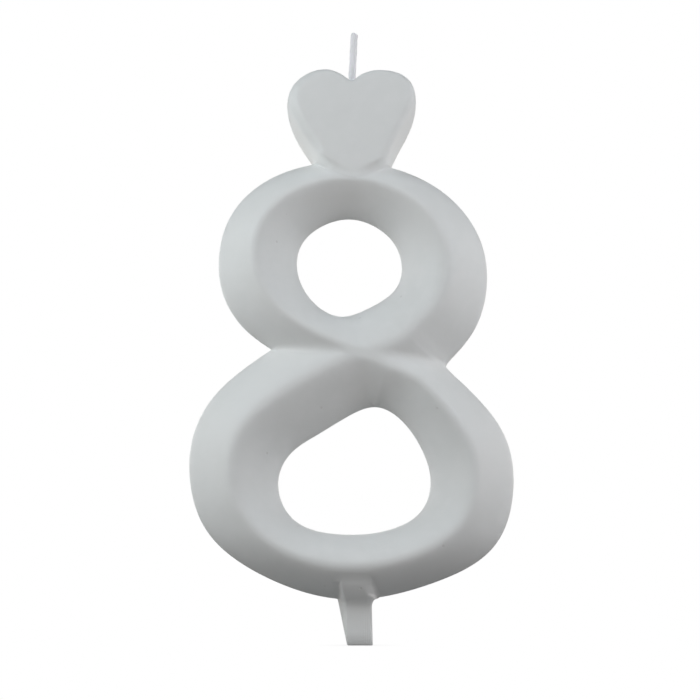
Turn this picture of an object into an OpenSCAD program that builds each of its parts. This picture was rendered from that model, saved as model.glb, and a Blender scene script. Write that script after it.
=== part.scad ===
// Number birthday candle: a cast wax 8 with a heart on top, a wick and a spike for the cake.
// Millimetres. X runs across the numeral, Y through its thickness, Z up.
// The origin is where the numeral's lowest point meets the cake, on the axis of the wick.

/* [Numeral] */
// Height of the numeral, without the heart and the spike
numeral_h = 75.5; // [60:0.5:110]
// Width of the numeral across its lower loop
numeral_w = 54; // [46:0.5:76]
// Thickness of the numeral from the front crest to the back crest
numeral_t = 13; // [10:0.5:18]
// How full the bevels are: 1 is flat, less is rounder towards the rims
bevel_power = 0.7; // [0.55:0.05:1]

/* [Heart] */
// Width of the heart
heart_w = 22.8; // [18:0.2:26]
// Height of the heart above its tip
heart_h = 21.2; // [19:0.2:25]
// Width of the rounded border round the heart's flat face
heart_border = 1.4; // [0.8:0.1:2.4]

/* [Spike] */
// Length of the spike below the numeral
spike_l = 7.1; // [5:0.1:30]
// Thickness of the spike at its flat end
spike_end_t = 3.2; // [3:0.1:5]
// Thickness of the boss where it runs out on the numeral's bevel
spike_boss_t = 9.4; // [8:0.1:10]
// Thickness of the root inside the numeral
spike_root_t = 6.4; // [5.5:0.1:8]

/* [Wick] */
// Diameter of the wick with its wax coat
wick_d = 1.2; // [1.2:0.1:2]
// Thickness of the wax coat on the wick
coat_t = 0.08; // [0.05:0.01:0.12]
// Free length of the wick above the bottom of the heart's notch
wick_free = 11.3; // [8:0.1:20]
// Depth of the wick in the numeral, below the heart's tip
wick_depth = 2.6; // [1:0.1:3]
// Height in which one cotton strand twists once round the wick
twist_pitch = 5; // [4:0.5:8]

/* [Hidden] */

WAX = [0.93, 0.94, 0.94];
COTTON = [0.95, 0.94, 0.90];
COAT = [0.88, 0.87, 0.92];

// Outlines as spline guide points [x, z], drawn for a numeral 54 wide and 75.5 high.
GUIDE_W = 54;
GUIDE_H = 75.5;
NOTCH_L = [-13.8, 41.5];
NOTCH_R = [15.8, 38.5];
CROSSING = [0.8, 39.75];
UPPER_OUTLINE = [NOTCH_R, [16, 39.2], [21.4, 44.6], [23.7, 53], [22.8, 61.6], [17.5, 69.4],
                 [9.4, 74.1], [0, 76], [-9.5, 74.9], [-16.9, 71.4], [-22, 65.5],
                 [-23.6, 57.5], [-22.5, 50.5], [-18.7, 44.8], NOTCH_L];
LOWER_OUTLINE = [NOTCH_L, [-23, 35], [-27.3, 27], [-27.3, 18], [-23.8, 8.9], [-12.4, 2.2],
                 [0, -1.1], [13.8, 2.5], [24.1, 7.4], [27.2, 17.5], [26.3, 27], [20.4, 34],
                 [16.1, 38], NOTCH_R];
UPPER_HOLE = [[2.1, 64.8], [-2, 65.1], [-6.4, 63.3], [-9.5, 60], [-9.9, 55], [-7.5, 50],
              [-2.5, 46.4], [2.5, 48.5], [7.9, 51.6], [9, 56.5], [7.1, 61.6]];
LOWER_HOLE = [[4, 32.5], [-1, 30], [-5.9, 26.8], [-10.3, 24.4], [-12.8, 20], [-11.8, 14.7],
              [-8, 11], [0, 10.1], [6.5, 11], [11.9, 13.7], [13.5, 19.5], [11.5, 25],
              [8.5, 29.5]];
UPPER_CENTRE = [-0.5, 56];
LOWER_CENTRE = [0, 21];

// Each side of the heart from its seat on the numeral to the notch, measured from its tip,
// drawn for a heart 22.8 wide and 21.2 high.
HEART_GUIDE_W = 22.8;
HEART_GUIDE_H = 21.2;
HEART_SEAT_X = 6.6;
HEART_SIDE_R = [[8.3, 8.4], [10.3, 11.9], [11.9, 16.2], [9.9, 20.3], [4.9, 21.4], [1.5, 20.6]];
HEART_SIDE_L = [[-8.9, 8.4], [-10.9, 11.9], [-12.2, 16.2], [-9.5, 20.2], [-5.1, 21.6], [-1.9, 20.6]];
HEART_NOTCH = [-0.15, 19.2];
HEART_CENTRE = [0, 12.5];

// Steps of the meshes
SPLINE_STEPS = 10;
SIDE_STEPS = 20;
SEAT_STEPS = 4;
WAIST_STEPS = 8;
LOWER_STEPS = 46;
HEART_STEPS = 20;
BEVEL_STATIONS = [0, 0.05, 0.2, 0.5, 1];
BORDER_STATIONS = [0, 0.2, 0.45, 0.7, 1];
STRAND_SIDES = 6;
STRAND_STEP_ANGLE = 45;

crest_h = numeral_t / 2;
numeral_scale = [numeral_w / GUIDE_W, numeral_h / GUIDE_H];
heart_scale = [heart_w / HEART_GUIDE_W, heart_h / HEART_GUIDE_H];

// The crest stays this share of the bevel's width clear of the valley where the strokes cross.
CREST_CLEARANCE = 0.1;

function sized(p, scale) = [p.x * scale.x, p.y * scale.y];
function all_sized(list, scale) = [for (p = list) sized(p, scale)];

// Uniform cubic B-spline: point at t on the piece that starts at guide point i
function spline_point(g, i, t) =
    (pow(1 - t, 3) * g[i] + (3 * pow(t, 3) - 6 * t * t + 4) * g[i + 1]
     + (3 * t + 3 * t * t - 3 * pow(t, 3) + 1) * g[i + 2] + pow(t, 3) * g[i + 3]) / 6;

function spline(g) =
    [for (i = [0 : len(g) - 4], k = [0 : SPLINE_STEPS - 1]) spline_point(g, i, k / SPLINE_STEPS)];

function closed_curve(g) = spline([g[len(g) - 1], each g, g[0], g[1]]);

function open_curve(g) =
    let (last = len(g) - 1)
    [each spline([2 * g[0] - g[1], each g, 2 * g[last] - g[last - 1]]), g[last]];

// Angle and radius of a point about a centre, and a table of them that lookup() can read
function angle_of(p, centre) = atan2(p.y - centre.y, p.x - centre.x);

function polar_table(curve, centre) =
    [for (p = curve, turn = [-360, 0, 360]) [angle_of(p, centre) + turn, norm(p - centre)]];

function at_angle(table, centre, a) = centre + lookup(a, table) * [cos(a), sin(a)];

notch_l = sized(NOTCH_L, numeral_scale);
notch_r = sized(NOTCH_R, numeral_scale);
crossing = sized(CROSSING, numeral_scale);
upper_centre = sized(UPPER_CENTRE, numeral_scale);
lower_centre = sized(LOWER_CENTRE, numeral_scale);
upper_outline = open_curve(all_sized(UPPER_OUTLINE, numeral_scale));
lower_outline = open_curve(all_sized(LOWER_OUTLINE, numeral_scale));
upper_hole = polar_table(closed_curve(all_sized(UPPER_HOLE, numeral_scale)), upper_centre);
lower_hole = polar_table(closed_curve(all_sized(LOWER_HOLE, numeral_scale)), lower_centre);
upper_rim = polar_table(upper_outline, upper_centre);
lower_rim = polar_table(lower_outline, lower_centre);

// The heart sits in a shallow V in the numeral's crown, from the outline down to the crest.
top_of_outline = [for (p = upper_outline) if (p.y > 0.85 * numeral_h) p];
seat_x = HEART_SEAT_X * heart_scale.x;
seat_r = [seat_x, lookup(seat_x, top_of_outline)];
seat_l = [-seat_x, lookup(-seat_x, top_of_outline)];
tip_angle = 90 - asin((0 - upper_centre.x) / (at_angle(upper_rim, upper_centre, 90).y - upper_centre.y));
tip_outer = at_angle(upper_rim, upper_centre, tip_angle);
tip_inner = at_angle(upper_hole, upper_centre, tip_angle);
seat_tip = (tip_outer + tip_inner) / 2;

// A ray is [hole point, outline point, edge point, k]: the edge point is where the solid ends,
// and k is 0 on a free edge and runs to 1 along the waist, where it reaches the crossing.
function free_rays(start, end, steps, rim, hole, centre) =
    let (a = angle_of(start, centre), b = angle_of(end, centre), turn = b > a ? b - a : b - a + 360)
    [for (i = [0 : steps - 1])
        let (edge = i == 0 ? start : at_angle(rim, centre, a + turn * i / steps))
        [at_angle(hole, centre, a + turn * i / steps), edge, edge, 0]];

SAME_POINT = 0.01;

function seat_rays(start, end) =
    [for (i = [0 : SEAT_STEPS - 1])
        let (edge = start + (end - start) * i / SEAT_STEPS,
             a = angle_of(edge, upper_centre),
             outer = at_angle(upper_rim, upper_centre, a))
        [at_angle(upper_hole, upper_centre, a), norm(outer - edge) < SAME_POINT ? edge : outer, edge, 0]];

// Waist from the left notch over the crossing to the right notch: [point, k]
waist = [for (i = [0 : WAIST_STEPS]) [notch_l + (crossing - notch_l) * i / WAIST_STEPS, i / WAIST_STEPS],
         for (i = [WAIST_STEPS - 1 : -1 : 0])
             [notch_r + (crossing - notch_r) * i / WAIST_STEPS, i / WAIST_STEPS]];

function waist_rays(points, hole, centre) =
    [for (i = [0 : len(points) - 2])
        let (p = points[i][0])
        [at_angle(hole, centre, angle_of(p, centre)), p, p, points[i][1]]];

function reversed(list) = [for (i = [len(list) - 1 : -1 : 0]) list[i]];

upper_rays = concat(
    free_rays(notch_r, seat_r, SIDE_STEPS, upper_rim, upper_hole, upper_centre),
    seat_rays(seat_r, seat_tip),
    seat_rays(seat_tip, seat_l),
    free_rays(seat_l, notch_l, SIDE_STEPS, upper_rim, upper_hole, upper_centre),
    waist_rays(waist, upper_hole, upper_centre));

lower_rays = concat(
    free_rays(notch_l, notch_r, LOWER_STEPS, lower_rim, lower_hole, lower_centre),
    waist_rays(reversed(waist), lower_hole, lower_centre));

// Points [x, z, height] along a ray: up the inner bevel to the crest, then down the outer one
function ray_points(ray) =
    let (hole = ray[0], rim = ray[1], edge = ray[2], k = ray[3],
         crest = hole + (rim - hole) * (0.5 + (0.5 - CREST_CLEARANCE) * k * k),
         valley = crest_h * k,
         power = bevel_power + (1 - bevel_power) * min(1, 3 * k),
         reach = norm(edge - crest) / norm(rim - crest))
    [for (u = BEVEL_STATIONS) [each hole + (crest - hole) * u, crest_h * pow(u, bevel_power)],
     for (i = [len(BEVEL_STATIONS) - 2 : -1 : 0])
         let (u = 1 - (1 - BEVEL_STATIONS[i]) * reach)
         [each (i == 0 ? edge : rim + (crest - rim) * u), valley + (crest_h - valley) * pow(u, power)]];

// Solid points of a grid of [x, z, height]: the front half first, then the back half
function both_sides(grid) =
    [for (side = [-1, 1], row = grid, p = row) [p.x, side * p.z, p.y]];

// Triangles of a grid of n rows that close in a ring, m points in a row
function ring_faces(n, m, start) =
    [for (i = [0 : n - 1], j = [0 : m - 2])
        let (a = start + i * m + j, b = start + ((i + 1) % n) * m + j, back = n * m)
        each [[a, b, b + 1], [a, b + 1, a + 1],
              [a + back, b + back + 1, b + back], [a + back, a + back + 1, b + back + 1]]];

// Triangles that close the gap between front and back along the last points of the rows
function wall_faces(n, m, start, rows) =
    [for (i = rows)
        let (a = start + i * m + m - 1, b = start + ((i + 1) % n) * m + m - 1, back = n * m)
        each [[a, b, b + back], [a, b + back, a + back]]];

// Faces without the ones that have two corners in one place
function open_faces(faces, points) =
    [for (f = faces)
        if (points[f[0]] != points[f[1]] && points[f[1]] != points[f[2]] && points[f[0]] != points[f[2]]) f];

module numeral_solid() {
    upper = [for (ray = upper_rays) ray_points(ray)];
    lower = [for (ray = lower_rays) ray_points(ray)];
    m = len(upper[0]);
    points = concat(both_sides(upper), both_sides(lower));
    faces = concat(
        ring_faces(len(upper), m, 0),
        ring_faces(len(lower), m, 2 * len(upper) * m),
        wall_faces(len(upper), m, 0, [SIDE_STEPS : SIDE_STEPS + 2 * SEAT_STEPS - 1]));
    polyhedron(points, open_faces(faces, points));
}

// The numeral's own edge points [x, z, height] in the heart's seat, from left to right
seat_points = [for (i = [SIDE_STEPS + 2 * SEAT_STEPS : -1 : SIDE_STEPS])
    let (row = ray_points(upper_rays[i])) row[len(row) - 1]];

function from_tip(p) = seat_tip + sized(p, heart_scale);
function all_from_tip(list) = [for (p = list) from_tip(p)];

// Heart outline counter-clockwise from the right end of the seat, as [x, z, height at the edge]
heart_half_r = open_curve([seat_r, each all_from_tip(HEART_SIDE_R), from_tip(HEART_NOTCH)]);
heart_half_l = open_curve([from_tip(HEART_NOTCH), each all_from_tip(reversed(HEART_SIDE_L)), seat_l]);

function thinned(curve, steps) =
    [for (i = [0 : steps - 1]) curve[round(i * (len(curve) - 1) / steps)]];

heart_edge = [for (p = thinned(heart_half_r, HEART_STEPS)) [p.x, p.y, 0],
              for (p = thinned(heart_half_l, HEART_STEPS)) [p.x, p.y, 0],
              for (i = [0 : len(seat_points) - 2]) seat_points[i]];
heart_centre = from_tip(HEART_CENTRE);

// The heart's border rises from the edge to the flat face on a quarter ellipse.
function border_points(edge) =
    let (p = [edge.x, edge.y], inward = (heart_centre - p) / norm(heart_centre - p))
    [for (u = reversed(BORDER_STATIONS))
        [each p + inward * heart_border * (1 - cos(90 * u)),
         edge.z + (crest_h - edge.z) * sin(90 * u)]];

module heart_solid() {
    grid = [for (edge = heart_edge) border_points(edge)];
    n = len(grid);
    m = len(grid[0]);
    front = 2 * n * m;
    points = concat(both_sides(grid), [[heart_centre.x, -crest_h, heart_centre.y],
                                       [heart_centre.x, crest_h, heart_centre.y]]);
    fans = [for (i = [0 : n - 1])
        let (a = i * m, b = ((i + 1) % n) * m)
        each [[a, front, b], [a + n * m, b + n * m, front + 1]]];
    faces = concat(ring_faces(n, m, 0), wall_faces(n, m, 0, [2 * HEART_STEPS : n - 1]), fans);
    polyhedron(points, open_faces(faces, points));
}

// The spike as seen from the front and from the side: the solid is what they share, less the
// facets along its left edge. It swells into a boss under the numeral and has a root inside it.
SPIKE_FRONT_TOP = [-2.4, 3];
SPIKE_FRONT_END = [-0.8, 3.2];
SPIKE_ROOT_H = 6;
BOSS_START = -1.9;
BOSS_TOP = 3.6;
BOSS_START_GAIN = 0.1;
SPIKE_LEFT_FACET = [1.35, 1.9];

module spike_front_view() {
    polygon([[SPIKE_FRONT_END[0], -spike_l], [SPIKE_FRONT_END[1], -spike_l],
             [SPIKE_FRONT_TOP[1], 0], [SPIKE_FRONT_TOP[1], SPIKE_ROOT_H],
             [SPIKE_FRONT_TOP[0], SPIKE_ROOT_H], [SPIKE_FRONT_TOP[0], 0]]);
}

module spike_side_view() {
    half_end = spike_end_t / 2;
    half_boss = spike_boss_t / 2;
    half_root = spike_root_t / 2;
    polygon([[-half_end, -spike_l], [half_end, -spike_l], [half_end + BOSS_START_GAIN, BOSS_START],
             [half_boss, BOSS_TOP], [half_root, SPIKE_ROOT_H], [-half_root, SPIKE_ROOT_H],
             [-half_boss, BOSS_TOP], [-half_end - BOSS_START_GAIN, BOSS_START]]);
}

// A bar along X with the spike's side view
module spike_bar(start_x, width) {
    translate([start_x, 0, 0])
        rotate([90, 0, 90])
            linear_extrude(width)
                spike_side_view();
}

module spike_left_facets() {
    for (side = [-1, 1])
        translate([SPIKE_FRONT_TOP[0], 0, -spike_l - 1])
            linear_extrude(spike_l + 1)
                polygon([[-1, 0], [0, 0], [SPIKE_LEFT_FACET[0], side * SPIKE_LEFT_FACET[1]],
                         [SPIKE_LEFT_FACET[0], side * spike_boss_t], [-1, side * spike_boss_t]]);
}

// Wick sizes: the three strands lie round the axis inside the coat
coat_r = wick_d / 2;
core_r = coat_r - coat_t;
strand_r = 0.43 * core_r;
strand_orbit = 0.54 * core_r;
STRAND_SHOWS = 0.4;
notch_z = from_tip(HEART_NOTCH).y;
wick_bottom = seat_tip.y - wick_depth;
wick_top = notch_z + wick_free;

// Seal: a bead of wax in a countersink round the wick, in the bottom of the heart's notch
SEAL_R = 1.1;
SEAL_BELOW = 1.1;
SEAL_ABOVE = 0.6;
SEAL_CONE = 0.9;

module wick_bore() {
    translate([0, 0, wick_bottom])
        cylinder(r = coat_r, h = wick_top - wick_bottom, $fn = 48);
}

module seal_seat() {
    translate([0, 0, notch_z - SEAL_BELOW])
        cylinder(r = SEAL_R, h = SEAL_BELOW + 6, $fn = 48);
}

module numeral_body() {
    color(WAX)
        difference() {
            numeral_solid();
            spike_bar(SPIKE_FRONT_TOP[0], SPIKE_FRONT_TOP[1] - SPIKE_FRONT_TOP[0]);
            wick_bore();
        }
}

module heart_topper() {
    color(WAX)
        difference() {
            heart_solid();
            wick_bore();
            seal_seat();
        }
}

module cake_spike() {
    color(WAX)
        difference() {
            intersection() {
                translate([0, spike_boss_t, 0])
                    rotate([90, 0, 0])
                        linear_extrude(2 * spike_boss_t)
                            spike_front_view();
                spike_bar(-10, 20);
            }
            spike_left_facets();
        }
}

module wick_coat() {
    color(COAT)
        translate([0, 0, wick_bottom])
            difference() {
                cylinder(r = coat_r, h = wick_top - wick_bottom - STRAND_SHOWS, $fn = 48);
                translate([0, 0, -1])
                    cylinder(r = core_r, h = wick_top - wick_bottom + 2, $fn = 48);
            }
}

module wick_seal() {
    color(COAT)
        translate([0, 0, notch_z])
            rotate_extrude($fn = 48)
                polygon([[coat_r, -SEAL_BELOW], [SEAL_R, -SEAL_BELOW], [SEAL_R, SEAL_ABOVE],
                         [coat_r + 0.1, SEAL_ABOVE + SEAL_CONE], [coat_r, SEAL_ABOVE + SEAL_CONE]]);
}

// One strand is a tube swept along a helix; the strands start a third of a turn apart.
module wick_strand(start_angle) {
    length = wick_top - wick_bottom;
    rings = round(length / twist_pitch * 360 / STRAND_STEP_ANGLE);
    points = [for (i = [0 : rings], s = [0 : STRAND_SIDES - 1])
        let (a = start_angle + 360 * length / twist_pitch * i / rings, b = 360 * s / STRAND_SIDES)
        [strand_orbit * cos(a) + strand_r * cos(b), strand_orbit * sin(a) + strand_r * sin(b),
         wick_bottom + length * i / rings]];
    sides = [for (i = [0 : rings - 1], s = [0 : STRAND_SIDES - 1])
        let (a = i * STRAND_SIDES + s, b = i * STRAND_SIDES + (s + 1) % STRAND_SIDES)
        each [[a, b + STRAND_SIDES, b], [a, a + STRAND_SIDES, b + STRAND_SIDES]]];
    bottom = [for (s = [0 : STRAND_SIDES - 1]) s];
    top = [for (s = [STRAND_SIDES - 1 : -1 : 0]) rings * STRAND_SIDES + s];
    color(COTTON)
        polyhedron(points, concat(sides, [bottom, top]));
}

numeral_body();
heart_topper();
cake_spike();
wick_strand(0);  // wick_strand_1
wick_strand(120);  // wick_strand_2
wick_strand(240);  // wick_strand_3
wick_coat();
wick_seal();
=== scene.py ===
import math

import bmesh
import bpy
import numpy as np
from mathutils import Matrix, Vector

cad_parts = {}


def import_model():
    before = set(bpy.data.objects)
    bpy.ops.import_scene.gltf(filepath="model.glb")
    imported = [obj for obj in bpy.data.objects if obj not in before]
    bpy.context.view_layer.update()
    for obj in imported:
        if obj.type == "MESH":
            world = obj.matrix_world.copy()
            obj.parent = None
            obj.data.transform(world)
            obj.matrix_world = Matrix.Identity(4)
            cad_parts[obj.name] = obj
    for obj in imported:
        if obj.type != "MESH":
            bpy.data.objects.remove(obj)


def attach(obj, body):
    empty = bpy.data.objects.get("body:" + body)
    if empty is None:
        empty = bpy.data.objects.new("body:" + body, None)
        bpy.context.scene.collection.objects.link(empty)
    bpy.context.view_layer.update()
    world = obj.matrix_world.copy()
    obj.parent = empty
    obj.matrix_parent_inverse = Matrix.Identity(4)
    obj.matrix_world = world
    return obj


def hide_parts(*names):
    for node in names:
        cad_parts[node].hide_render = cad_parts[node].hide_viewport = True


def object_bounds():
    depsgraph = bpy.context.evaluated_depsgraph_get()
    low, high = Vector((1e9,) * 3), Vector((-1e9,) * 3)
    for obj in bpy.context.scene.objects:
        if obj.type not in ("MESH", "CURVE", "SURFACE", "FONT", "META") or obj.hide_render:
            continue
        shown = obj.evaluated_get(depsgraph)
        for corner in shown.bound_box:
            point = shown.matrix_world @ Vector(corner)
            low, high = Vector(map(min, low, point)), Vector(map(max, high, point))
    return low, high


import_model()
cad_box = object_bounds()

MM = 0.001


# ---------------------------------------------------------------- outlines, in millimetres
# Spline guide points [x, z] for a numeral 54 wide and 75.5 high above the cake. They are the
# CAD's, apart from the heart's lobes and notch, which are up to 0.4 lower.

NOTCH_L = (-13.8, 41.5)
NOTCH_R = (15.8, 38.5)
CROSSING = (0.8, 39.75)
UPPER_OUTLINE = [NOTCH_R, (16, 39.2), (21.4, 44.6), (23.7, 53), (22.8, 61.6), (17.5, 69.4),
                 (9.4, 74.1), (0, 76), (-9.5, 74.9), (-16.9, 71.4), (-22, 65.5),
                 (-23.6, 57.5), (-22.5, 50.5), (-18.7, 44.8), NOTCH_L]
LOWER_OUTLINE = [NOTCH_L, (-23, 35), (-27.3, 27), (-27.3, 18), (-23.8, 8.9), (-12.4, 2.2),
                 (0, -1.1), (13.8, 2.5), (24.1, 7.4), (27.2, 17.5), (26.3, 27), (20.4, 34),
                 (16.1, 38), NOTCH_R]
UPPER_HOLE = [(2.1, 64.8), (-2, 65.1), (-6.4, 63.3), (-9.5, 60), (-9.9, 55), (-7.5, 50),
              (-2.5, 46.4), (2.5, 48.5), (7.9, 51.6), (9, 56.5), (7.1, 61.6)]
LOWER_HOLE = [(4, 32.5), (-1, 30), (-5.9, 26.8), (-10.3, 24.4), (-12.8, 20), (-11.8, 14.7),
              (-8, 11), (0, 10.1), (6.5, 11), (11.9, 13.7), (13.5, 19.5), (11.5, 25),
              (8.5, 29.5)]
UPPER_CENTRE = np.array([-0.5, 56.0])
LOWER_CENTRE = np.array([0.0, 21.0])

# the points of the heart's sides, root and notch are measured from its tip
HEART_SEAT_X = 6.6
HEART_TIP = (0, 70.1)
HEART_NOTCH = (-0.15, 18.8)
HEART_SIDE_R = [(8.3, 8.4), (10.3, 11.9), (11.9, 16.2), (9.9, 20.1), (4.9, 21.2), (1.5, 20.3)]
HEART_SIDE_L = [(-8.9, 8.4), (-10.9, 11.9), (-12.2, 16.2), (-9.5, 20.2), (-5.1, 21.5),
                (-1.9, 20.3)]
HEART_ROOT = [(-5.5, -1), (-3, -3), (0, -4), (3, -3), (5.5, -1)]
HEART_CENTRE = np.array([0.0, 82.6])

crest_h = (cad_box[1][1] - cad_box[0][1]) / MM / 2


def spline(guides, closed, steps=40):
    """Uniform cubic B-spline drawn towards its guides; an open one ends on its end guides."""
    g = np.array(guides, float)
    if closed:
        g = np.vstack([g[-1], g, g[:2]])
    else:
        g = np.vstack([2 * g[0] - g[1], g, 2 * g[-1] - g[-2]])
    t = np.linspace(0, 1, steps, endpoint=False)[:, None]
    weights = [(1 - t) ** 3, 3 * t**3 - 6 * t**2 + 4, 3 * t + 3 * t**2 - 3 * t**3 + 1, t**3]
    spans = [sum(w * g[i + j] for j, w in enumerate(weights)) / 6 for i in range(len(g) - 3)]
    curve = np.vstack(spans)
    return curve if closed else np.vstack([curve, g[-2]])


def ramp(value, start, end):
    """0 at start and 1 at end, straight in between and level outside; end may be below start."""
    return np.clip((value - start) / (end - start), 0, 1)


def smooth(t):
    """A straight run from 0 to 1 eased at both ends."""
    return t * t * (3 - 2 * t)


def polar(points, centre):
    """Angle and distance of points round a centre."""
    d = np.asarray(points) - centre
    return np.arctan2(d[..., 1], d[..., 0]), np.hypot(d[..., 0], d[..., 1])


class Ring:
    """A curve round a centre, read as a radius at an angle."""

    def __init__(self, curve, centre):
        self.centre = centre
        angle, radius = polar(curve, centre)
        order = np.argsort(angle)
        self.angle, self.radius = angle[order], radius[order]

    def at(self, angle):
        return np.interp(angle, self.angle, self.radius, period=2 * math.pi)

    def point(self, angle):
        direction = np.stack([np.cos(angle), np.sin(angle)], -1)
        return self.centre + self.at(angle)[..., None] * direction


upper_outline = spline(UPPER_OUTLINE, False)
upper_rim = Ring(upper_outline, UPPER_CENTRE)
lower_rim = Ring(spline(LOWER_OUTLINE, False), LOWER_CENTRE)
upper_hole = Ring(spline(UPPER_HOLE, True), UPPER_CENTRE)
lower_hole = Ring(spline(LOWER_HOLE, True), LOWER_CENTRE)


# ---------------------------------------------------------------- the numeral's surface
# The 8 is one stroke that crosses itself at the waist, with a soft ridge along its middle.

RIDGE_SOFTNESS = 0.09
FOOT_SOFTNESS = 0.24
FOOT_FROM, FOOT_FULL = 12, 6
WAIST_SOFTNESS = 0.12
WAIST_SOFT_REACH = 5.0
BEVEL_CURVE = 1.15
BEVEL_POWER = 0.75

WAIST_FILLET, NOTCH_FILLET = 0.7, 1.8
FILLET_GROWS_FROM, FILLET_FULL = 2, 7
FILLET_FADE = 0.8
WAIST_CAP = 0.1
WAIST_LOW, WAIST_LOW_FULL = 29.3, 30.8
WAIST_HIGH, WAIST_HIGH_FULL = 49.3, 46.8


def distance_to(points, curve, chunk=4000):
    """Distance from points to a polyline; positive on the left of its direction."""
    flat = points.reshape(-1, 2)
    a, d = curve[:-1], np.diff(curve, axis=0)
    length2 = (d * d).sum(1)
    out = np.empty(len(flat))
    for i in range(0, len(flat), chunk):
        v = flat[i:i + chunk, None] - a
        t = np.clip((v * d).sum(2) / length2, 0, 1)
        off = v - t[..., None] * d
        square = (off * off).sum(2)
        j = square.argmin(1)
        rows = np.arange(len(j))
        side = d[j, 0] * v[rows, j, 1] - d[j, 1] * v[rows, j, 0]
        out[i:i + chunk] = np.sqrt(square[rows, j]) * np.where(side < 0, -1, 1)
    return out.reshape(points.shape[:-1])


def arc_of(ring, start, end, step=3):
    """A loop's edge from one angle to another, in degrees; counter-clockwise if end > start."""
    count = max(int(abs(end - start) / step), 8)
    return ring.point(np.radians(np.linspace(start, end, count + 1)))


def angle_of(point, centre):
    """Angle of one point round a centre, in degrees."""
    return math.degrees(polar(np.array(point, float), centre)[0])


def bend(start, via, end, steps=12):
    """Points strictly between start and end on a parabola that heads for via."""
    t = np.linspace(0, 1, steps)[1:-1, None]
    return (1 - t) ** 2 * np.array(start) + 2 * t * (1 - t) * np.array(via) + t * t * np.array(end)


# angles in degrees, counter-clockwise from the right
TOP, BOTTOM = 90, 270
PAST_THE_MIDDLE = 25
HOLE_FOOT = 258
HOLE_HEAD = 70
upper_left = 360 + angle_of(NOTCH_L, UPPER_CENTRE)
upper_right = angle_of(NOTCH_R, UPPER_CENTRE)
lower_left = angle_of(NOTCH_L, LOWER_CENTRE)
lower_right = angle_of(NOTCH_R, LOWER_CENTRE)

BELOW_NOTCH_R = (15.0, 35.6)
ABOVE_NOTCH_R = (14.3, 41.1)
hole_head = lower_hole.point(math.radians(HOLE_HEAD))
hole_foot = upper_hole.point(math.radians(HOLE_FOOT))

# each arm runs from the crown over the crossing to the foot of the 8, between two edges
FALLING = (
    np.vstack([arc_of(upper_rim, TOP - PAST_THE_MIDDLE, upper_left),
               arc_of(lower_hole, HOLE_HEAD, BOTTOM - 360 - PAST_THE_MIDDLE)]),
    np.vstack([arc_of(upper_hole, TOP - PAST_THE_MIDDLE, HOLE_FOOT),
               bend(hole_foot, ABOVE_NOTCH_R, NOTCH_R),
               arc_of(lower_rim, lower_right, BOTTOM - 360 - PAST_THE_MIDDLE)]),
)
RISING = (
    np.vstack([arc_of(upper_rim, TOP + PAST_THE_MIDDLE, upper_right),
               bend(NOTCH_R, BELOW_NOTCH_R, hole_head),
               arc_of(lower_hole, HOLE_HEAD, BOTTOM + PAST_THE_MIDDLE)]),
    np.vstack([arc_of(upper_hole, TOP + PAST_THE_MIDDLE, HOLE_FOOT - 360),
               arc_of(lower_rim, lower_left, BOTTOM + PAST_THE_MIDDLE)]),
)


def roof(points, to_one_edge, to_other_edge):
    """Height between two edges, from the distances to them: curved bevels with a soft ridge."""
    a, b = np.clip(to_one_edge, 0, None), np.clip(to_other_edge, 0, None)
    off = np.abs(a - b) / np.maximum(a + b, 1e-9)
    at_foot = ramp(points[..., 1], FOOT_FROM, FOOT_FULL)
    at_waist = np.exp(-(((points - np.array(CROSSING)) / WAIST_SOFT_REACH) ** 2).sum(-1))
    soft = RIDGE_SOFTNESS + (FOOT_SOFTNESS - RIDGE_SOFTNESS) * at_foot
    soft = soft + (WAIST_SOFTNESS - RIDGE_SOFTNESS) * at_waist
    off = (np.hypot(off, soft) - soft) / (np.hypot(1, soft) - soft)
    return crest_h * np.clip(1 - off**BEVEL_CURVE, 0, 1) ** BEVEL_POWER


def soft_union(a, b, softness):
    """The higher of two heights, with a fillet that fades out towards the rims."""
    k = np.maximum(softness * np.clip(np.minimum(a, b) / FILLET_FADE, 0, 1), 1e-6)
    blend = np.clip(k - np.abs(a - b), 0, None) / k
    return np.maximum(a, b) + blend * blend * k / 4


def capped(height, softness):
    """A height that runs out softly below the crest instead of passing it."""
    below = crest_h - height
    return crest_h - (below + np.hypot(below, softness)) / 2


def numeral_height(points):
    """Height of the 8's front surface at [x, z]; 0 outside it."""
    falling = roof(points, distance_to(points, FALLING[0]), -distance_to(points, FALLING[1]))
    rising = roof(points, -distance_to(points, RISING[0]), distance_to(points, RISING[1]))
    x, z = points[..., 0], points[..., 1]
    own = np.where((z > CROSSING[1]) == (x < 0), falling, rising)
    near = ramp(z, WAIST_LOW, WAIST_LOW_FULL) * ramp(z, WAIST_HIGH, WAIST_HIGH_FULL)
    from_crossing = np.hypot(x - CROSSING[0], z - CROSSING[1])
    away = smooth(ramp(from_crossing, FILLET_GROWS_FROM, FILLET_FULL))
    fillet = WAIST_FILLET + (NOTCH_FILLET - WAIST_FILLET) * away
    both = capped(soft_union(falling, rising, fillet), WAIST_CAP)
    return own + (both - own) * near


# ---------------------------------------------------------------- the heart's surface

SEAT_SAG = 0.9
SEAT_STEPS = 24
CROWN_ABOVE = 65
HEART_REACHES_DOWN_TO = 66

BEVEL_THIN, BEVEL_WIDE = 1.1, 1.8
LEFT_FROM, LEFT_FULL = 0.4, 0.85
BEVEL_SLOPE = 1.0
BEVEL_SOFTNESS = 0.35
RIM_ROUND = 0.7
FACE_DOME = 0.15
DOME_R, DOME_Z, DOME_MOST = 11, 81, 1.2
SEAT_BAND, SEAT_BAND_AT_ENDS = 1.3, 0.25
BAND_NARROWS_FROM = 2.5
BAND_BELOW, BAND_ABOVE = -0.8, 1.2


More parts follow.
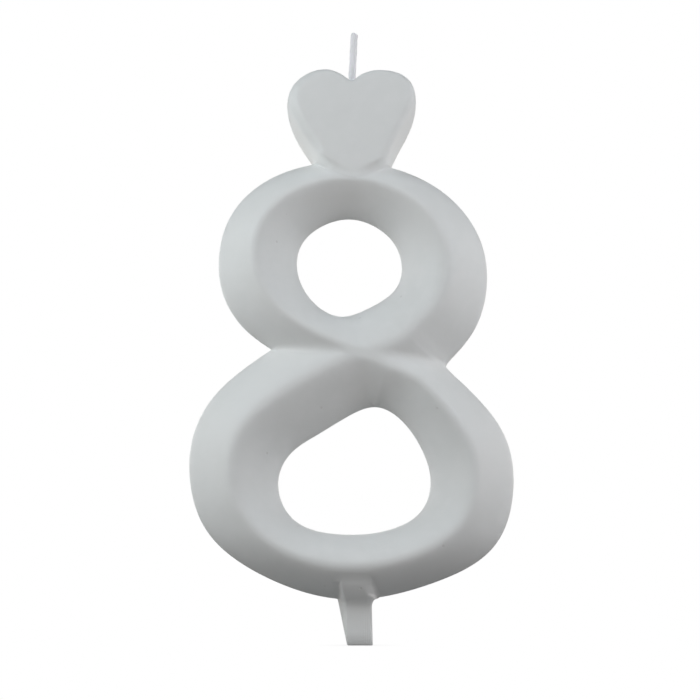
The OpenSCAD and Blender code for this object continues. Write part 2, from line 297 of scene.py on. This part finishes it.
def outline_height_at(x):
    """Height of the numeral's crown at x."""
    top = upper_outline[upper_outline[:, 1] > CROWN_ABOVE]
    order = np.argsort(top[:, 0])
    return np.interp(x, top[order, 0], top[order, 1])


def curve_between(start, end):
    """Points from start to just before end on a shallow arc that sags below the chord."""
    t = np.linspace(0, 1, SEAT_STEPS, endpoint=False)[:, None]
    return start + (end - start) * t - np.array([0, 1.0]) * SEAT_SAG * 4 * t * (1 - t)


seat_r = np.array([HEART_SEAT_X, outline_height_at(HEART_SEAT_X)])
seat_l = np.array([-HEART_SEAT_X, outline_height_at(-HEART_SEAT_X)])
seat_tip = np.array(HEART_TIP, float)
seat_edge = np.vstack([curve_between(seat_r, seat_tip), curve_between(seat_tip, seat_l)])


def heart_half(seat, guides):
    """One side of the heart's outline, from its seat to the notch."""
    return spline([seat] + [seat_tip + g for g in guides + [HEART_NOTCH]], False, 14)


heart_side = np.vstack([heart_half(seat_r, HEART_SIDE_R),
                        heart_half(seat_l, HEART_SIDE_L)[-2::-1]])
heart_root = spline([seat_l - seat_tip] + HEART_ROOT + [seat_r - seat_tip], False, 8)[1:]
heart_loop = np.vstack([heart_side, heart_root + seat_tip])


def heart_height(points):
    """Height of the heart: a round rim, a soft bevel, then a slightly domed face; 0 outside."""
    distance = distance_to(points, heart_loop)
    x, z = points[..., 0], points[..., 1]
    angle, _ = polar(points, HEART_CENTRE)
    leftness = smooth(ramp(-np.cos(angle), LEFT_FROM, LEFT_FULL))
    bevel = BEVEL_THIN + (BEVEL_WIDE - BEVEL_THIN) * leftness
    face = capped(crest_h - BEVEL_SLOPE * (bevel - distance), BEVEL_SOFTNESS)
    dome = FACE_DOME * np.clip((x / DOME_R) ** 2 + ((z - DOME_Z) / DOME_R) ** 2, 0, DOME_MOST)
    rim = 1 - np.clip(distance / RIM_ROUND, 0, 1)
    return (face - dome) * np.sqrt(1 - rim * rim)


def candle_height(points):
    """Height of the whole cast at [x, z]: in its seat the heart runs over into the numeral."""
    height = numeral_height(points)
    near = points[..., 1] > HEART_REACHES_DOWN_TO
    if near.any():
        seat = np.vstack([seat_edge, seat_l])
        narrow = ramp(np.abs(points[near][:, 0]), BAND_NARROWS_FROM, HEART_SEAT_X)
        band = SEAT_BAND + (SEAT_BAND_AT_ENDS - SEAT_BAND) * narrow
        share = smooth(ramp(-distance_to(points[near], seat) / band, BAND_BELOW, BAND_ABOVE))
        height[near] += (heart_height(points[near]) - height[near]) * share
    return height


# ---------------------------------------------------------------- meshes of numeral and heart

STATIONS = 44
END_LOOSENING = 0.35
HEART_STATIONS = 30
RIM_CROWDING = 1.6
SIDE_STEPS = 90
LOWER_STEPS = 200
WAIST_STEPS = 40


def free_edge(rim, start, end, steps):
    """Points along an outline from start to just before end, counter-clockwise."""
    a, _ = polar(start, rim.centre)
    b, _ = polar(end, rim.centre)
    turn = (b - a) % (2 * math.pi)
    points = rim.point(a + turn * np.arange(steps) / steps)
    points[0] = start
    return points


def waist_edge():
    """Points from the left notch over the crossing to just before the right notch."""
    t = np.linspace(0, 1, WAIST_STEPS, endpoint=False)[:, None]
    left, right, middle = np.array(NOTCH_L), np.array(NOTCH_R), np.array(CROSSING)
    return np.vstack([left + (middle - left) * t, middle + (right - middle) * t])


def grid_over(start, edge, t):
    """Rows of [x, z, height] from start to each point of the edge, at the shares t."""
    points = start + (edge[:, None] - start) * t[None, :, None]
    return np.concatenate([points, candle_height(points)[..., None]], 2)


def loop_grid(hole, edge, free_rows):
    """Rows from a hole's rim to the edge, one for each edge point."""
    angle, _ = polar(edge, hole.centre)
    t = np.linspace(0, 1, STATIONS + 1)
    t = (1 - np.cos(math.pi * t)) / 2
    t = t + END_LOOSENING * np.sin(2 * math.pi * t) / (2 * math.pi)
    grid = grid_over(hole.point(angle)[:, None], edge, t)
    grid[:, 0, 2] = 0
    grid[free_rows, -1, 2] = 0
    return grid


def heart_grid(edge, free_rows):
    """Rows from the heart's centre to its edge."""
    t = 1 - np.linspace(1, 0, HEART_STATIONS) ** RIM_CROWDING
    grid = grid_over(HEART_CENTRE, edge, t)
    grid[free_rows, -1, 2] = 0
    return grid


def merge(obj, distance=1e-6):
    """Join points in the same place, turn the faces outwards and shade them smooth."""
    bm = bmesh.new()
    bm.from_mesh(obj.data)
    bmesh.ops.remove_doubles(bm, verts=bm.verts, dist=distance)
    bmesh.ops.dissolve_degenerate(bm, edges=bm.edges, dist=distance)
    bmesh.ops.recalc_face_normals(bm, faces=bm.faces)
    bm.to_mesh(obj.data)
    bm.free()
    for p in obj.data.polygons:
        p.use_smooth = True


def new_object(name, data):
    """An object for a mesh, a light or a camera, in the scene."""
    obj = bpy.data.objects.new(name, data)
    bpy.context.scene.collection.objects.link(obj)
    return obj


def solid(name, verts, faces):
    """A closed mesh object from points in millimetres."""
    mesh = bpy.data.meshes.new(name)
    mesh.from_pydata([(x * MM, y * MM, z * MM) for x, y, z in verts], [], faces)
    obj = new_object(name, mesh)
    merge(obj)
    return obj


def solid_from_grids(name, grids, walls):
    """Front and back sides from closed ring grids; walls close the rows that are named."""
    verts, faces = [], []
    for grid, wall in zip(grids, walls):
        n, m, _ = grid.shape
        start = len(verts)
        for side in (-1, 1):
            verts += [(x, side * h, z) for row in grid for x, z, h in row]
        back = n * m
        for i in range(n):
            for j in range(m - 1):
                a, b = start + i * m + j, start + (i + 1) % n * m + j
                faces.append((a, a + 1, b + 1, b))
                faces.append((a + back, b + back, b + 1 + back, a + 1 + back))
        for i in wall:
            a, b = start + i * m + m - 1, start + (i + 1) % n * m + m - 1
            faces.append((a, a + back, b + back, b))
    return solid(name, verts, faces)


def numeral():
    """The cast figure 8, with a wall where the heart sits."""
    notch_l, notch_r = np.array(NOTCH_L, float), np.array(NOTCH_R, float)
    waist = waist_edge()
    side_r = free_edge(upper_rim, notch_r, seat_r, SIDE_STEPS)
    side_l = free_edge(upper_rim, seat_l, notch_l, SIDE_STEPS)
    upper_edge = np.vstack([side_r, seat_edge, side_l, waist])
    seat_start, seat_end = SIDE_STEPS, SIDE_STEPS + len(seat_edge)
    free = list(range(seat_start + 1)) + list(range(seat_end, seat_end + SIDE_STEPS + 1))
    upper = loop_grid(upper_hole, upper_edge, free)
    lower_free = free_edge(lower_rim, notch_l, notch_r, LOWER_STEPS)
    lower_edge = np.vstack([lower_free, [notch_r], waist[:0:-1]])
    lower = loop_grid(lower_hole, lower_edge, list(range(LOWER_STEPS + 1)))
    return solid_from_grids("numeral", [upper, lower], [range(seat_start, seat_end), []])


def heart():
    """The cast heart, with a wall that follows the seat."""
    edge = np.vstack([heart_side, seat_edge[:0:-1]])
    free = len(heart_side)
    grid = heart_grid(edge, list(range(free)))
    return solid_from_grids("heart", [grid], [range(free - 1, len(edge))])


def tube(name, rings):
    """A closed mesh from a stack of sections with the same number of points [x, y, z]."""
    n = len(rings[0])
    faces = []
    for i in range(len(rings) - 1):
        for j in range(n):
            a, b = i * n + j, i * n + (j + 1) % n
            faces.append((a, b, b + n, a + n))
    last = (len(rings) - 1) * n
    faces += [tuple(range(n))[::-1], tuple(range(last, last + n))]
    return solid(name, np.vstack(rings), faces)


# ---------------------------------------------------------------- the spike, in millimetres
# A flat blade with a slanting left facet. It swells into a boss, and the boss fades into the 8.

# In this section, names that end in _X or _Z are ranges of x or z: where something starts, and
# where it is complete.

SPIKE_L = 7.1
SPIKE_HALF_T = 1.6
SPIKE_LEFT_LOW, SPIKE_LEFT_TOP = -0.89, -2.4
LEFT_SLOPE_ABOVE = 0.1
FACE_LEFT, FACE_SPREAD = -1.05, 0.9
FACE_SPREAD_Z = (-0.4, 2.2)
SPIKE_RIGHT, RIGHT_TAPER = 3.2, 0.15
FILLET_OUT = 0.85
FILLET_Z, FILLET_GONE_Z = (-1.1, 0.15), (2.2, 0.15)
THINNEST = 0.02

END_WEAR = 0.42
END_WEAR_Z = (1.9 - SPIKE_L, -SPIKE_L)
END_ROUND = 0.07
END_ROUND_Z = (0.2 - SPIKE_L, -SPIKE_L)
FACET_SOFTNESS = 0.25
FACET_LEAST = 0.12
CORNER_DROP, CORNER_ROUND = 0.3, 0.35
FLARE, FLARE_KEEPS, FLARE_CURVE = 0.45, 0.7, 1.6
FLARE_X = (2.2, 4.1)
FLARE_Z, FLARE_GONE_Z = (-1.2, -0.4), (1.5, 0.1)
LINE_DEPTH, LINE_RADIANS_PER_MM = 0.012, 19
LINES_X, LINES_Z = (1.0, 1.8), (-1.2, -2.5)

BOSS_START = 0.75
BOSS_SLOPE = 1.25
BOSS_BEND = 0.9
BOSS_CURVE = 0.145
BOSS_CURVE_FROM = 0.8
BOSS_TOP = 5.0
BOSS_LEVEL_Z = (0.1, 2.8)
BOSS_FADE_Z = (2.2, 4.8)
FADE_LEAST = 0.15
FADE_LEFT, FADE_LEFT_Z = 1.8, (0.1, 1.8)
FADE_RIGHT, FADE_RIGHT_Z = 2.4, (0.1, 0.9)
LEFT_FADE_SPAN, RIGHT_FADE_SPAN = (-0.5, 0.5), (-0.6, 0.4)
BOSS_BLEND = 0.5
SINK = 0.03
SKIRT, SKIRT_Z = 3.5, (0.1, 2.0)

SPIKE_COLUMNS = 64
END_LEVELS = [0, 0.02, 0.06, 0.12, 0.2, 0.35, 0.55, 0.8]


def spike_edges(z):
    """The spike's left edge, its front face's left edge and its right edge at a height."""
    up = 1 + z / SPIKE_L
    left = SPIKE_LEFT_LOW + (SPIKE_LEFT_TOP - SPIKE_LEFT_LOW) * np.minimum(up, 1)
    left = left - LEFT_SLOPE_ABOVE * np.maximum(z, 0)
    face_left = FACE_LEFT - FACE_SPREAD * ramp(z, *FACE_SPREAD_Z)
    fillet = 1 - np.sqrt(1 - ramp(z, *FILLET_Z) ** 2)
    fillet = FILLET_OUT * fillet * ramp(z, *FILLET_GONE_Z)
    return left, face_left, SPIKE_RIGHT - RIGHT_TAPER * up + fillet


def boss_depth(z):
    """Half the thickness in the middle of the spike: level, then growing into the boss."""
    rise = z + BOSS_START
    swell = BOSS_SLOPE * (rise + np.hypot(rise, BOSS_BEND)) / 2
    return SPIKE_HALF_T + swell - BOSS_CURVE * np.maximum(rise - BOSS_CURVE_FROM, 0) ** 2


def right_flare(x, z, depth):
    """How far the surface falls back over the fillet on the right."""
    across = ramp(x, *FLARE_X) ** FLARE_CURVE
    along = ramp(z, *FLARE_Z) * ramp(z, *FLARE_GONE_Z)
    return FLARE * (depth - FLARE_KEEPS) * across * along


def mould_lines(x, z):
    """Fine upright lines on the right half of the blade."""
    wave = np.sin(LINE_RADIANS_PER_MM * x)
    return LINE_DEPTH * wave * ramp(x, *LINES_X) * ramp(z, *LINES_Z)


def spike_height(x, z):
    """Half the spike's thickness, with its facet, its worn end and its rounded right corner."""
    left, face_left, right = spike_edges(z)
    depth = boss_depth(z)
    facet = (x - left) * depth / max(face_left - left, FACET_LEAST)
    height = (depth + facet - np.hypot(depth - facet, FACET_SOFTNESS)) / 2
    worn = END_WEAR * ramp(z, *END_WEAR_Z) ** 2
    corner = CORNER_DROP * ramp(right - x, CORNER_ROUND, 0) ** 2
    height = height - worn - right_flare(x, z, depth) - corner + mould_lines(x, z)
    return np.maximum(height, THINNEST)


def boss_share(x, z, left, right):
    """How much of the boss shows at x: it fades out to both sides and upwards."""
    past_left = (left - x) / (FADE_LEAST + FADE_LEFT * ramp(z, *FADE_LEFT_Z))
    past_right = (x - right) / (FADE_LEAST + FADE_RIGHT * ramp(z, *FADE_RIGHT_Z))
    share = 1 - smooth(ramp(past_left, *LEFT_FADE_SPAN))
    share *= 1 - smooth(ramp(past_right, *RIGHT_FADE_SPAN))
    return share * (1 - smooth(ramp(z, *BOSS_FADE_Z)))


def boss_height(x, z):
    """Height of the boss over the numeral; beside it, just under the numeral's surface."""
    left, face_left, right = spike_edges(z)
    under = numeral_height(np.column_stack([x, np.full(len(x), z)])) - SINK
    level_from = left + (face_left - left) * ramp(z, *BOSS_LEVEL_Z)
    above = spike_height(np.clip(x, level_from, right), z) - under
    return under + (above + np.hypot(above, BOSS_BLEND)) / 2 * boss_share(x, z, left, right)


def spike():
    """The flat spike and its boss, as a stack of level sections."""
    blade, boss = np.linspace(-6.1, -1.3, 14), np.linspace(-1.1, BOSS_TOP, 48)
    levels = np.concatenate([np.array(END_LEVELS) - SPIKE_L, blade, boss])
    rings = []
    for z in levels:
        left, _, right = spike_edges(z)
        spread = SKIRT * ramp(z, *SKIRT_Z)
        inset = END_ROUND * ramp(z, *END_ROUND_Z) ** 2
        x = np.linspace(left - spread + inset, right + spread - inset, SPIKE_COLUMNS)
        height = boss_height(x, z) if z > SKIRT_Z[0] else spike_height(x, z) - inset
        height = np.maximum(height, THINNEST)
        front = np.column_stack([x, -height, np.full(len(x), z)])
        rings.append(np.vstack([front, (front * (1, -1, 1))[::-1]]))
    return tube("spike", rings)


# ---------------------------------------------------------------- the wick, in millimetres

WICK_R = 0.63
WICK_TOP = 100.6
WICK_BOTTOM = 67.5
NOTCH_Z = 89.0
WICK_ROOT_X, WICK_TIP_X = -0.2, 0.4
LEAN_STARTS_BELOW = 6
TWIST_PITCH = 5.0
LEAN_CURVE = 1.1
WAVER_X, WAVER_Y = 0.03, 0.1
COAT_SIDES, STRAND_SIDES = 40, 12
COAT_DOME = 0.5
COAT_SHORTER = 0.1
COAT_TIP_SLANT = 0.45
COAT_TIP_DRAWN_IN = 0.62
LAY_DEPTH = 0.014
STRAND_R, STRAND_ORBIT = 0.21, 0.25
STRAND_STAGGER = 0.08
TIP_GATHER, TIP_GATHER_H = 0.25, 0.6
TIP_ROUND, TIP_ROUND_H = 0.9, 0.16
SEAL_LOW, SEAL_H = 0.9, 1.9
SEAL_LIP, SEAL_SPREAD, SEAL_CURVE = 0.05, 0.9, 2.4


def wick_axis(z):
    """Middle of the wick at a height; it leans a little to the right above the notch."""
    t = ramp(z, NOTCH_Z, WICK_TOP)
    x = WICK_ROOT_X * ramp(z, NOTCH_Z - LEAN_STARTS_BELOW, NOTCH_Z)
    x = x + (WICK_TIP_X - WICK_ROOT_X) * t**LEAN_CURVE
    return x + WAVER_X * np.sin(5 * t) * t, WAVER_Y * np.sin(2.6 * t)


def circle_ring(cx, cy, z, radius, angles, slant=0.0):
    """A ring of points round (cx, cy); slant tips it to the right."""
    x, y = radius * np.cos(angles), radius * np.sin(angles)
    return np.column_stack([cx + x, cy + y, z - slant * x])


def round_angles(sides):
    """Angles once round, in equal steps."""
    return np.linspace(0, 2 * math.pi, sides, endpoint=False)


def coat_radius(z, angles):
    """The coat follows the lay of the strands and is slightly uneven."""
    lay = LAY_DEPTH * np.cos(3 * (angles - 2 * math.pi * z / TWIST_PITCH))
    uneven = 0.018 * np.sin(1.7 * z + 0.6) + 0.012 * np.sin(4.1 * z + 2 * angles)
    return WICK_R + lay + uneven + 0.008 * np.sin(9.3 * z - angles)


def wick_coat():
    """The wick's wax coat, with a slanting domed tip."""
    angles = round_angles(COAT_SIDES)
    straight = WICK_TOP - COAT_DOME - COAT_SHORTER - WICK_BOTTOM
    rings = []
    for t in np.concatenate([np.linspace(0, 1, 180), 1 + np.linspace(0, 1, 12)[1:]]):
        end = max(t - 1, 0)
        round_off = end * math.pi / 2
        z = WICK_BOTTOM + straight * min(t, 1) + COAT_DOME * math.sin(round_off)
        radius = coat_radius(z, angles) * (1 - COAT_TIP_DRAWN_IN * (1 - math.cos(round_off)))
        rings.append(circle_ring(*wick_axis(z), z, radius, angles, COAT_TIP_SLANT * end))
    return tube("wick_wax", rings)


def wick_strand(index):
    """One of three twisted strands, gathered and rounded at the tip."""
    angles = round_angles(STRAND_SIDES)
    tip = WICK_TOP - STRAND_STAGGER * index
    rings = []
    for z in np.linspace(WICK_BOTTOM, tip, 260):
        cx, cy = wick_axis(z)
        turn = 2 * math.pi * (z / TWIST_PITCH + index / 3)
        orbit = STRAND_ORBIT * (1 - TIP_GATHER * ramp(z, tip - TIP_GATHER_H, tip))
        radius = STRAND_R * math.sqrt(1 - TIP_ROUND * ramp(z, tip - TIP_ROUND_H, tip) ** 2)
        x, y = cx + orbit * math.cos(turn), cy + orbit * math.sin(turn)
        rings.append(circle_ring(x, y, z, radius, angles))
    return tube(f"strand_{index + 1}", rings)


def wick_seal():
    """The bead of wax round the wick at the bottom of the notch."""
    angles = round_angles(COAT_SIDES)
    rings = []
    for t in np.linspace(0, 1, 24):
        z = NOTCH_Z - SEAL_LOW + SEAL_H * t
        radius = WICK_R + SEAL_LIP + SEAL_SPREAD * (1 - t) ** SEAL_CURVE
        rings.append(circle_ring(*wick_axis(z), z, radius, angles))
    return tube("wick_seal_bead", rings)


# ---------------------------------------------------------------- materials
# Texture scales are per metre, distances in metres.

WAX_DARK, WAX_LIGHT = (0.812, 0.820, 0.815, 1), (0.846, 0.852, 0.846, 1)
# the pit colour is painted shade: the wax is darker inside its pits
WAX_BLOOM, WAX_PIT_PAINTED_SHADE = (0.85, 0.853, 0.85, 1), (0.76, 0.76, 0.755, 1)
WAX_ROUGHNESS = (0.42, 0.58)
COAT_DARK, COAT_LIGHT = (0.86, 0.85, 0.87, 1), (0.93, 0.92, 0.94, 1)
COTTON_DARK, COTTON_LIGHT = (0.70, 0.69, 0.70, 1), (0.88, 0.87, 0.86, 1)


def new_material(name, **constants):
    """A material with a node tree; constants are set on the shader's own sockets."""
    material = bpy.data.materials.new(name)
    material.use_nodes = True
    tree = material.node_tree
    shader = tree.nodes["Principled BSDF"]
    for key, value in constants.items():
        shader.inputs[key.replace("_", " ")].default_value = value
    return material, tree, shader


def node(tree, kind, **values):
    """A new node; values name its inputs or, failing that, its properties."""
    made = tree.nodes.new(kind)
    for key, value in values.items():
        if key in made.inputs:
            made.inputs[key].default_value = value
        else:
            setattr(made, key, value)
    return made


def mapped(tree, value, from_range=(0.0, 1.0), to_range=(0.0, 1.0)):
    """A value stretched from one range to another."""
    spread = node(tree, "ShaderNodeMapRange")
    for side, limits in (("From", from_range), ("To", to_range)):
        spread.inputs[side + " Min"].default_value = limits[0]
        spread.inputs[side + " Max"].default_value = limits[1]
    tree.links.new(value, spread.inputs["Value"])
    return spread.outputs["Result"]


def texture(tree, place, kind, output, **values):
    """One output of a texture laid out in the object's own coordinates."""
    made = node(tree, kind, **values)
    tree.links.new(place.outputs["Object"], made.inputs["Vector"])
    return made.outputs[output]


def noise_at(tree, place, scale, detail, low, high):
    """A noise stretched so that low becomes 0 and high becomes 1."""
    noise = texture(tree, place, "ShaderNodeTexNoise", "Fac", Scale=scale, Detail=detail)
    return mapped(tree, noise, (low, high))


def mix_colours(tree, amount, first, second):
    """A colour between two others, each a colour or a socket."""
    mix = node(tree, "ShaderNodeMix", data_type="RGBA")
    tree.links.new(amount, mix.inputs[0])
    for socket, value in ((mix.inputs[6], first), (mix.inputs[7], second)):
        if isinstance(value, tuple):
            socket.default_value = value
        else:
            tree.links.new(value, socket)
    return mix.outputs[2]


def colour_between(tree, amount, first, second):
    """A colour ramp between two colours."""
    tint = node(tree, "ShaderNodeValToRGB")
    for element, colour in zip(tint.color_ramp.elements, (first, second)):
        element.color = colour
    tree.links.new(amount, tint.inputs["Fac"])
    return tint.outputs["Color"]


def bump_on(tree, height, strength, distance, below=None):
    """A bump, on top of another one if below is given."""
    bump = node(tree, "ShaderNodeBump", Strength=strength, Distance=distance)
    tree.links.new(height, bump.inputs["Height"])
    if below is not None:
        tree.links.new(below, bump.inputs["Normal"])
    return bump.outputs["Normal"]


def wax_material():
    """Cast paraffin: cloudy with bloom, satin, with slight waves, grain and a few air pits
    darkened with painted shade.
    """
    material, tree, shader = new_material(
        "cast_wax", Subsurface_Weight=0.25, Subsurface_Radius=(1.0, 1.0, 1.0),
        Subsurface_Scale=0.001, IOR=1.44, Specular_IOR_Level=0.35)
    link = tree.links.new
    place = node(tree, "ShaderNodeTexCoord")
    clouds = noise_at(tree, place, 90.0, 4.0, 0.25, 0.75)
    bloom = noise_at(tree, place, 420.0, 5.0, 0.45, 0.8)
    cast = mix_colours(tree, clouds, WAX_DARK, WAX_LIGHT)
    bloomed = mix_colours(tree, bloom, cast, WAX_BLOOM)
    pits = texture(tree, place, "ShaderNodeTexVoronoi", "Distance", Scale=210.0)
    few = mapped(tree, pits, (0.06, 0.03))
    # painted shade: the colour darkens inside the pits
    link(mix_colours(tree, few, bloomed, WAX_PIT_PAINTED_SHADE), shader.inputs["Base Color"])
    link(mapped(tree, bloom, to_range=WAX_ROUGHNESS), shader.inputs["Roughness"])
    waves = bump_on(tree, noise_at(tree, place, 130.0, 1.0, 0.0, 1.0), 0.15, 0.0002)
    grain = bump_on(tree, noise_at(tree, place, 1100.0, 3.0, 0.0, 1.0), 0.15, 0.0001, waves)
    link(bump_on(tree, few, 0.4, -0.0001, grain), shader.inputs["Normal"])
    return material


def wick_wax_material():
    """The wick's wax coat: pale and slightly rough."""
    material, tree, shader = new_material(
        "wick_wax", Subsurface_Weight=0.3, Subsurface_Radius=(0.4, 0.35, 0.4),
        Subsurface_Scale=0.001, Roughness=0.5)
    place = node(tree, "ShaderNodeTexCoord")
    noise = texture(tree, place, "ShaderNodeTexNoise", "Fac", Scale=1500.0, Detail=3.0)
    colour = colour_between(tree, noise, COAT_DARK, COAT_LIGHT)
    tree.links.new(colour, shader.inputs["Base Color"])
    tree.links.new(bump_on(tree, noise, 0.2, 0.00005), shader.inputs["Normal"])
    return material


def cotton_material():
    """The cotton of the strands, with its fibres."""
    material, tree, shader = new_material("wick_cotton", Roughness=0.8, Sheen_Weight=0.2)
    place = node(tree, "ShaderNodeTexCoord")
    fibres = texture(tree, place, "ShaderNodeTexWave", "Fac", Scale=2500.0, Distortion=3.0)
    colour = colour_between(tree, fibres, COTTON_DARK, COTTON_LIGHT)
    tree.links.new(colour, shader.inputs["Base Color"])
    return material


def dress(piece, material, slot, *nodes):
    """Give a piece its material and its body, and hide the CAD nodes that it stands for; slot is
    not used.
    """
    piece.data.materials.clear()
    piece.data.materials.append(material)
    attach(piece, "root")
    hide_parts(*nodes)


# ---------------------------------------------------------------- stage

CAMERA_DISTANCE = 190.0
CAMERA_ELEVATION = -13.0
CAMERA_TARGET = (-0.43, 0.0, 41.45)
CAMERA_LENS = 57.48
FLOOR_SIZE = 4
FLOOR_REFLECTS = 0.26
FLOOR_SHADE = 0.8
SHADE_REACH = 0.006
ROUND_LIGHT = 0.05
WHITE = (1, 1, 1, 1)


def camera():
    """A camera below the middle of the candle, which looks slightly up at it."""
    data = bpy.data.cameras.new("camera")
    data.sensor_width = 36
    data.lens = CAMERA_LENS
    data.clip_start = 0.001
    data.clip_end = 20
    obj = new_object("camera", data)
    e = math.radians(CAMERA_ELEVATION)
    x, y, z = CAMERA_TARGET
    y, z = y - CAMERA_DISTANCE * math.cos(e), z + CAMERA_DISTANCE * math.sin(e)
    obj.location = (x * MM, y * MM, z * MM)
    obj.rotation_euler = (math.pi / 2 - e, 0, 0)
    bpy.context.scene.camera = obj


def split_for_camera(tree, others, camera_sees, target):
    """Send one shader to the camera's own rays and another to all other rays."""
    path = node(tree, "ShaderNodeLightPath")
    mix = node(tree, "ShaderNodeMixShader")
    tree.links.new(path.outputs["Is Camera Ray"], mix.inputs[0])
    tree.links.new(others.outputs[0], mix.inputs[1])
    tree.links.new(camera_sees.outputs[0], mix.inputs[2])
    tree.links.new(mix.outputs[0], target.inputs["Surface"])


def floor():
    """A pale floor: plain white to the camera with a painted soft contact shade, dim as a
    reflector.
    """
    bpy.ops.mesh.primitive_plane_add(size=FLOOR_SIZE, location=(0, 0, cad_box[0][2]))
    plane = bpy.context.object
    plane.name = "floor"
    pale = (FLOOR_REFLECTS, FLOOR_REFLECTS, FLOOR_REFLECTS, 1)
    material, tree, shader = new_material("floor", Base_Color=pale, Roughness=0.9)
    # painted contact shade: ambient occlusion darkens the white glow that the camera sees
    near = node(tree, "ShaderNodeAmbientOcclusion", samples=16, Distance=SHADE_REACH)
    glow = node(tree, "ShaderNodeEmission", Strength=1.0)
    shade = mapped(tree, near.outputs["AO"], to_range=(FLOOR_SHADE, 1.0))
    tree.links.new(shade, glow.inputs["Color"])
    split_for_camera(tree, shader, glow, tree.nodes["Material Output"])
    plane.data.materials.append(material)


def world():
    """White behind the candle, and a dim even light from all round."""
    made = bpy.data.worlds.new("world")
    bpy.context.scene.world = made
    made.use_nodes = True
    tree = made.node_tree
    dim = tree.nodes["Background"]
    dim.inputs["Color"].default_value = WHITE
    dim.inputs["Strength"].default_value = ROUND_LIGHT
    white = node(tree, "ShaderNodeBackground", Color=WHITE, Strength=1.0)
    split_for_camera(tree, dim, white, tree.nodes["World Output"])


COOL, COOLER, NEUTRAL = (0.84, 0.94, 1), (0.8, 0.92, 1), (1, 0.97, 0.94)
GREENISH, WARM = (0.92, 1, 0.97), (1, 0.94, 0.93)
# distance and diameter in metres
CLOSE, FAR = (0.22, 0.12), (0.4, 0.25)
# softboxes: name, azimuth (0 is in front, 90 on the right), elevation, place, watts, colour
SOFTBOXES = [
    ("upper_left", -60, 30, CLOSE, 0.154, COOL),
    ("upper_right", 60, 30, CLOSE, 0.116, COOLER),
    ("upper_front", 0, 30, CLOSE, 0.06, NEUTRAL),
    ("lower_left", -60, 0, CLOSE, 0.109, NEUTRAL),
    ("lower_right", 60, 0, CLOSE, 0.106, WARM),
    ("left", -90, 20, FAR, 0.16, GREENISH),
    ("right", 90, 20, FAR, 0.199, NEUTRAL),
    ("back_left", -140, 5, FAR, 0.264, NEUTRAL),
    ("back_right", 140, 5, FAR, 0.209, NEUTRAL),
    ("back", 180, 20, FAR, 0.26, NEUTRAL),
]
LIGHT_CENTRE = np.array([0, 0, 0.045])


def softbox(name, azimuth, elevation, place, watts, colour):
    """A round softbox that looks at the middle of the candle."""
    distance, diameter = place
    data = bpy.data.lights.new(name, "AREA")
    data.shape = "DISK"
    data.size = diameter
    data.energy = watts
    data.color = colour
    obj = new_object(name, data)
    obj.visible_camera = False
    a, e = math.radians(azimuth), math.radians(elevation)
    direction = np.array([math.sin(a) * math.cos(e), -math.cos(a) * math.cos(e), math.sin(e)])
    obj.location = LIGHT_CENTRE + direction * distance
    obj.rotation_euler = (math.pi / 2 - e, 0, a)


camera()
floor()
world()
for values in SOFTBOXES:
    softbox(*values)
bpy.context.scene.view_settings.view_transform = "Standard"

wax = wax_material()
dress(numeral(), wax, "wax", "numeral_body")
dress(heart(), wax, "wax", "heart_topper")
dress(spike(), wax, "wax", "cake_spike")
cotton = cotton_material()
for i in range(3):
    dress(wick_strand(i), cotton, "wick_cotton", f"wick_strand_{i + 1}")
wick_wax = wick_wax_material()
dress(wick_coat(), wick_wax, "wick_wax", "wick_coat")
dress(wick_seal(), wick_wax, "wick_wax", "wick_seal")
